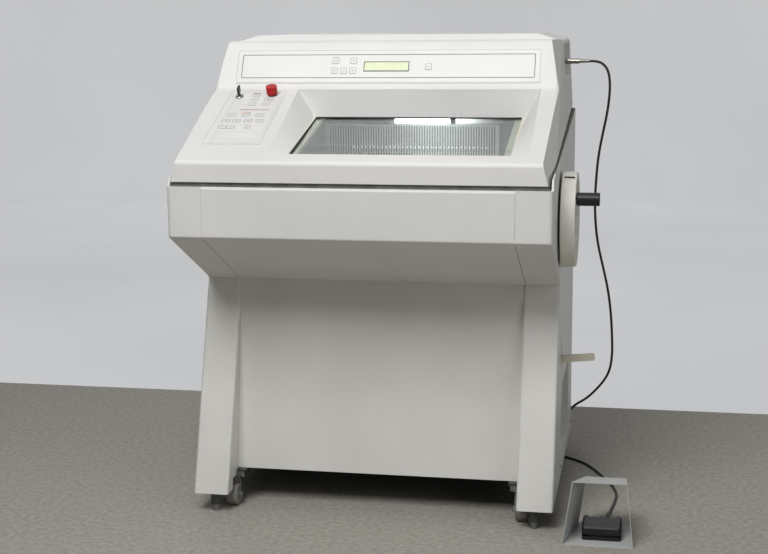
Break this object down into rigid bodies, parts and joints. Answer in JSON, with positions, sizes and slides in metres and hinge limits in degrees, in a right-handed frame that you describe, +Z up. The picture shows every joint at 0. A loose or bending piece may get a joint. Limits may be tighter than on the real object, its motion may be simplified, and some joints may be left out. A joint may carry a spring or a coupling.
{
  "type": "cryostat microtome",
  "caption": "Floor-standing cryostat microtome with a sliding heated window, side handwheel, control panels, armrest, casters and a corded foot switch.",
  "frame": {"origin": "on the floor under the middle of the cabinet", "axes": "+X to the right as the user faces the front, +Y to the back, +Z up"},
  "size_m": [0.971, 0.82, 1.053],
  "materials": {
    "panel_paint": "satin",
    "hood_moulding": "satin",
    "armrest_moulding": "satin",
    "gasket_rubber": "satin",
    "plate_film": "satin",
    "display_glass": "satin",
    "key_film": "satin",
    "black_plastic": "satin",
    "stop_red": "satin",
    "window_glass": "satin",
    "rail_plastic": "satin",
    "stainless": "satin",
    "lamp_glass": "satin",
    "foam": "satin",
    "wheel_moulding": "satin",
    "casting_paint": "satin",
    "tool_steel": "satin",
    "clear_plate": "satin",
    "fin_aluminium": "satin",
    "compressor_paint": "satin",
    "frame_steel": "satin",
    "bottle_plastic": "satin",
    "caster_steel": "satin",
    "caster_tread": "satin",
    "nickel": "satin",
    "cord_jacket": "satin",
    "guard_paint": "satin",
    "lever_moulding": "satin"
  },
  "bodies": {
    "cabinet": {"base_frame": "frame_steel", "side_panel_left": "panel_paint", "side_panel_right": "panel_paint", "front_panel": "panel_paint", "armrest_center": "armrest_moulding", "armrest_end_left": "armrest_moulding", "armrest_end_right": "armrest_moulding", "rear_panel": "panel_paint", "hood_gasket": "gasket_rubber", "hood": "hood_moulding", "top_cover": "hood_moulding", "upper_control_plate": "plate_film", "display_window": "display_glass", "side_control_plate": "plate_film", "key_pads": "key_film", "key_switch": "nickel", "emergency_stop_collar": "black_plastic", "window_rails": "rail_plastic", "chamber_ceiling": "stainless", "lamp_tube": "lamp_glass", "chamber_tub": "stainless", "chamber_insulation": "foam", "shaft_bearing": "tool_steel", "microtome_housing": "casting_paint", "knife_holder": "tool_steel", "microtome_blade": "tool_steel", "evaporator_cover": "stainless", "evaporator": "fin_aluminium", "compressor": "compressor_paint", "condenser": "fin_aluminium", "bottle_bay": "panel_paint", "drain_valve": "tool_steel", "caster_mounts": "caster_steel", "switch_guard": "guard_paint", "foot_switch_base": "black_plastic", "side_socket": "nickel", "cord_plug": "nickel", "foot_switch_cord": "cord_jacket"},
    "sliding_window": {"window_pane": "window_glass"},
    "handwheel_body": {"handwheel": "wheel_moulding", "main_shaft": "tool_steel"},
    "turning_grip": {"handwheel_grip": "black_plastic"},
    "turning_key": {"switch_key": "black_plastic"},
    "stop_button": {"emergency_stop_button": "stop_red"},
    "drain_handle": {"drain_lever": "lever_moulding"},
    "bottle": {"condensate_bottle": "bottle_plastic"},
    "carriage": {"specimen_carriage": "tool_steel"},
    "specimen_head": {"specimen_holder": "tool_steel"},
    "anti_roll": {"anti_roll_plate": "clear_plate"},
    "knife_clamp": {"clamp_lever": "black_plastic"},
    "foot_left": {"leveling_foot_left": "caster_steel"},
    "foot_right": {"leveling_foot_right": "caster_steel"},
    "front_fork_left": {"caster_fork_left": "caster_steel"},
    "front_fork_right": {"caster_fork_right": "caster_steel"},
    "front_roller_left": {"front_wheel_left": "caster_tread"},
    "front_roller_right": {"front_wheel_right": "caster_tread"},
    "rear_roller_left": {"rear_wheel_left": "caster_tread"},
    "rear_roller_right": {"rear_wheel_right": "caster_tread"},
    "fan": {"fan_rotor": "black_plastic"},
    "pedal": {"foot_pedal": "black_plastic"}
  },
  "joints": [
    {"name": "window_slide", "type": "slide", "parent": "cabinet", "child": "sliding_window", "axis": [0, 0.9728, 0.2317], "range_m": [0, 0.225]},
    {"name": "handwheel_spin", "type": "hinge", "parent": "cabinet", "child": "handwheel_body", "pos_m": [0, -0.15, 0.663], "axis": [1, 0, 0], "continuous": true},
    {"name": "grip_spin", "type": "hinge", "parent": "handwheel_body", "child": "turning_grip", "pos_m": [0, -0.205, 0.713], "axis": [1, 0, 0], "continuous": true},
    {"name": "key_turn", "type": "hinge", "parent": "cabinet", "child": "turning_key", "pos_m": [-0.3175, -0.10648, 0.91754], "axis": [0, -0.3879, 0.9217], "range_deg": [0, 90]},
    {"name": "stop_press", "type": "slide", "parent": "cabinet", "child": "stop_button", "axis": [0, 0.3879, -0.9217], "range_m": [0, 0.004], "stiffness_N_per_m": 800, "springref_m": -0.0005},
    {"name": "drain_turn", "type": "hinge", "parent": "cabinet", "child": "drain_handle", "pos_m": [0.326, -0.047, 0.324], "axis": [0, -1, 0], "range_deg": [0, 24]},
    {"name": "bottle_slide", "type": "slide", "parent": "cabinet", "child": "bottle", "axis": [1, 0, 0], "range_m": [0, 0.15]},
    {"name": "specimen_stroke", "type": "slide", "parent": "cabinet", "child": "carriage", "axis": [0, 0, 1], "range_m": [-0.03, 0.03]},
    {"name": "specimen_feed", "type": "slide", "parent": "carriage", "child": "specimen_head", "axis": [0, -1, 0], "range_m": [0, 0.025]},
    {"name": "anti_roll_flip", "type": "hinge", "parent": "cabinet", "child": "anti_roll", "pos_m": [0, -0.2995, 0.68562], "axis": [1, 0, 0], "range_deg": [0, 100]},
    {"name": "knife_clamp_turn", "type": "hinge", "parent": "cabinet", "child": "knife_clamp", "pos_m": [0, -0.2795, 0.673], "axis": [-1, 0, 0], "range_deg": [0, 90]},
    {"name": "foot_screw_left", "type": "slide", "parent": "cabinet", "child": "foot_left", "axis": [0, 0, 1], "range_m": [0, 0.012]},
    {"name": "foot_screw_right", "type": "slide", "parent": "cabinet", "child": "foot_right", "axis": [0, 0, 1], "range_m": [0, 0.012]},
    {"name": "front_swivel_left", "type": "hinge", "parent": "cabinet", "child": "front_fork_left", "pos_m": [-0.328, -0.182, 0], "axis": [0, 0, 1], "continuous": true},
    {"name": "front_swivel_right", "type": "hinge", "parent": "cabinet", "child": "front_fork_right", "pos_m": [0.328, -0.182, 0], "axis": [0, 0, 1], "continuous": true},
    {"name": "front_roll_left", "type": "hinge", "parent": "front_fork_left", "child": "front_roller_left", "pos_m": [-0.328, -0.2, 0.025], "axis": [1, 0, 0], "continuous": true},
    {"name": "front_roll_right", "type": "hinge", "parent": "front_fork_right", "child": "front_roller_right", "pos_m": [0.328, -0.2, 0.025], "axis": [1, 0, 0], "continuous": true},
    {"name": "rear_roll_left", "type": "hinge", "parent": "cabinet", "child": "rear_roller_left", "pos_m": [-0.328, 0.3, 0.025], "axis": [1, 0, 0], "continuous": true},
    {"name": "rear_roll_right", "type": "hinge", "parent": "cabinet", "child": "rear_roller_right", "pos_m": [0.328, 0.3, 0.025], "axis": [1, 0, 0], "continuous": true},
    {"name": "fan_spin", "type": "hinge", "parent": "cabinet", "child": "fan", "pos_m": [-0.11, 0.302, 0.204], "axis": [0, 1, 0], "continuous": true},
    {"name": "pedal_press", "type": "hinge", "parent": "cabinet", "child": "pedal", "pos_m": [0.504, -0.233, 0.019], "axis": [1, 0, 0], "range_deg": [0, 4], "stiffness_Nm_per_rad": 2, "springref_deg": -2.86}
  ]
}
